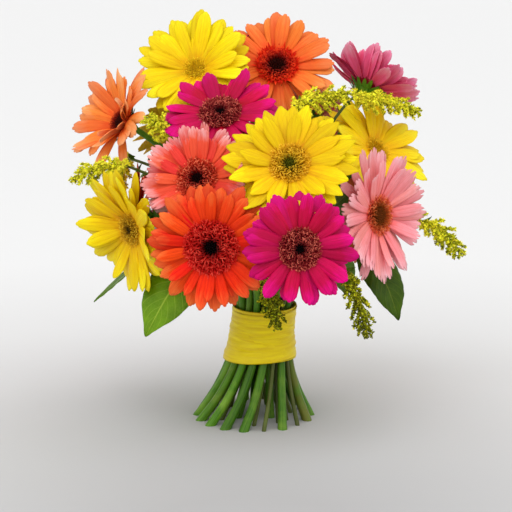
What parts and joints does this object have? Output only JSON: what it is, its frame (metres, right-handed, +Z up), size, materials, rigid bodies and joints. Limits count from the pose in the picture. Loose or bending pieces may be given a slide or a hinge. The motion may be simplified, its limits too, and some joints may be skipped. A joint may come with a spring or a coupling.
{
  "type": "hand-tied bouquet of gerbera daisies",
  "caption": "Hand-tied bouquet of gerbera daisies with goldenrod and broad leaves, wrapped in satin ribbon, standing on its splayed cut stems.",
  "frame": {"origin": "middle of the flat cut end of the middle stem, on the plane the bouquet stands on", "axes": "+Z up along the bunch, -Y the front that carries the largest yellow head, +X to the right as seen from the front"},
  "size_m": [0.3542, 0.3113, 0.3665],
  "materials": {
    "petals_yellow": "soft matt petal, satin in grazing light",
    "petals_orange": "soft matt petal, satin in grazing light",
    "petals_scarlet": "soft matt petal, satin in grazing light",
    "petals_magenta": "soft matt petal, satin in grazing light",
    "petals_coral": "soft matt petal, satin in grazing light",
    "petals_pink": "soft matt petal, satin in grazing light",
    "stem": "waxy green skin, pale fibrous cut end",
    "goldenrod": "matt, finely budded",
    "leaf": "leathery, semi-gloss",
    "twine": "matt, twisted",
    "ribbon": "satin"
  },
  "bodies": {
    "root": {"gerbera_01_bloom": "petals_yellow", "gerbera_01_stem": "stem", "gerbera_02_bloom": "petals_orange", "gerbera_02_stem": "stem", "gerbera_03_bloom": "petals_magenta", "gerbera_03_stem": "stem", "gerbera_04_bloom": "petals_orange", "gerbera_04_stem": "stem", "gerbera_05_bloom": "petals_coral", "gerbera_05_stem": "stem", "gerbera_06_bloom": "petals_yellow", "gerbera_06_stem": "stem", "gerbera_07_bloom": "petals_yellow", "gerbera_07_stem": "stem", "gerbera_08_bloom": "petals_scarlet", "gerbera_08_stem": "stem", "gerbera_09_bloom": "petals_magenta", "gerbera_09_stem": "stem", "gerbera_10_bloom": "petals_pink", "gerbera_10_stem": "stem", "gerbera_11_bloom": "petals_yellow", "gerbera_11_stem": "stem", "gerbera_12_bloom": "petals_magenta", "gerbera_12_stem": "stem", "gerbera_13_bloom": "petals_orange", "gerbera_13_stem": "stem", "gerbera_14_bloom": "petals_yellow", "gerbera_14_stem": "stem", "gerbera_15_bloom": "petals_magenta", "gerbera_15_stem": "stem", "gerbera_16_bloom": "petals_pink", "gerbera_16_stem": "stem", "gerbera_17_bloom": "petals_scarlet", "gerbera_17_stem": "stem", "gerbera_18_bloom": "petals_coral", "gerbera_18_stem": "stem", "gerbera_19_bloom": "petals_yellow", "gerbera_19_stem": "stem", "gerbera_20_bloom": "petals_magenta", "gerbera_20_stem": "stem", "goldenrod_01": "goldenrod", "goldenrod_02": "goldenrod", "goldenrod_03": "goldenrod", "goldenrod_04": "goldenrod", "goldenrod_05": "goldenrod", "goldenrod_06": "goldenrod", "goldenrod_07": "goldenrod", "goldenrod_08": "goldenrod", "goldenrod_09": "goldenrod", "leaf_01": "leaf", "leaf_02": "leaf", "leaf_03": "leaf", "leaf_04": "leaf", "leaf_05": "leaf", "leaf_06": "leaf", "leaf_07": "leaf", "leaf_08": "leaf", "binding_twine": "twine", "ribbon_wrap": "ribbon"}
  },
  "joints": []
}
